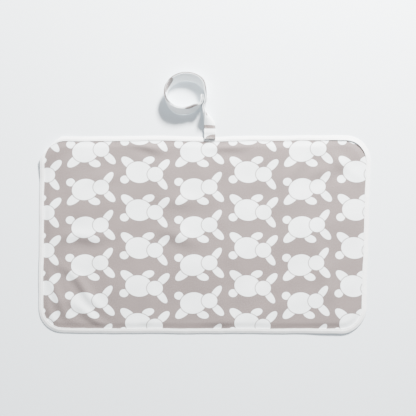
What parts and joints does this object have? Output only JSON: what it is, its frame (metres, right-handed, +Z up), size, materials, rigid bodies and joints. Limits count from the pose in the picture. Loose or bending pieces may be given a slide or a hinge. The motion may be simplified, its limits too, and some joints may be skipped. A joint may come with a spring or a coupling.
{
  "type": "changing pad",
  "caption": "Flat padded changing pad of printed cloth with bound edges, which folds in three panels and is held closed by a narrow cloth strap that snaps into a loop.",
  "frame": {"origin": "centre of the pad's underside, on the floor plane", "axes": "+X along the pad's long side, +Y across it towards the strap, +Z up from the floor"},
  "size_m": [0.596, 0.4687, 0.0206],
  "materials": {
    "print": "printed plain-weave cloth, white silhouettes on taupe",
    "backing": "plain white knitted backing cloth",
    "film": "thin waterproof film, satin",
    "wadding": "soft white wadding",
    "tape": "plain white binding tape",
    "thread": "white sewing thread",
    "stiffener": "white felt interlining",
    "snap": "white moulded plastic, slightly glossy"
  },
  "bodies": {
    "middle_panel": {"back_sheet_middle": "backing", "film_middle": "film", "top_sheet_middle": "print", "wadding_middle": "wadding", "binding_middle_rear": "tape", "binding_middle_front": "tape", "seam_thread_middle_rear": "thread", "seam_thread_middle_front": "thread", "strap_tab": "print", "strap_tack_thread": "thread"},
    "left_panel": {"back_sheet_left": "backing", "film_left": "film", "top_sheet_left": "print", "wadding_left": "wadding", "binding_left": "tape", "seam_thread_left": "thread"},
    "right_panel": {"back_sheet_right": "backing", "film_right": "film", "top_sheet_right": "print", "wadding_right": "wadding", "binding_right": "tape", "seam_thread_right": "thread"},
    "strap": {"strap_sleeve": "print", "strap_stiffener": "stiffener", "snap_stud_cap": "snap", "snap_stud": "snap"},
    "strap_end": {"strap_end_sleeve": "print", "strap_end_stiffener": "stiffener", "snap_socket": "snap", "snap_socket_cap": "snap"}
  },
  "joints": [
    {"name": "left_fold", "type": "hinge", "parent": "middle_panel", "child": "left_panel", "pos_m": [-0.1005, 0, 0.007], "axis": [0, 1, 0], "range_deg": [0, 180]},
    {"name": "right_fold", "type": "hinge", "parent": "middle_panel", "child": "right_panel", "pos_m": [0.1005, 0, 0.0103], "axis": [0, -1, 0], "range_deg": [0, 180]},
    {"name": "strap_lift", "type": "hinge", "parent": "middle_panel", "child": "strap", "pos_m": [0.0095, 0.1797, 0.0069], "axis": [1, 0, 0], "range_deg": [0, 60]},
    {"name": "snap_open", "type": "hinge", "parent": "strap", "child": "strap_end", "pos_m": [-0.0112, 0.2305, 0.00031], "axis": [-0.1578, 0.1643, 0.9737], "range_deg": [0, 40]}
  ]
}
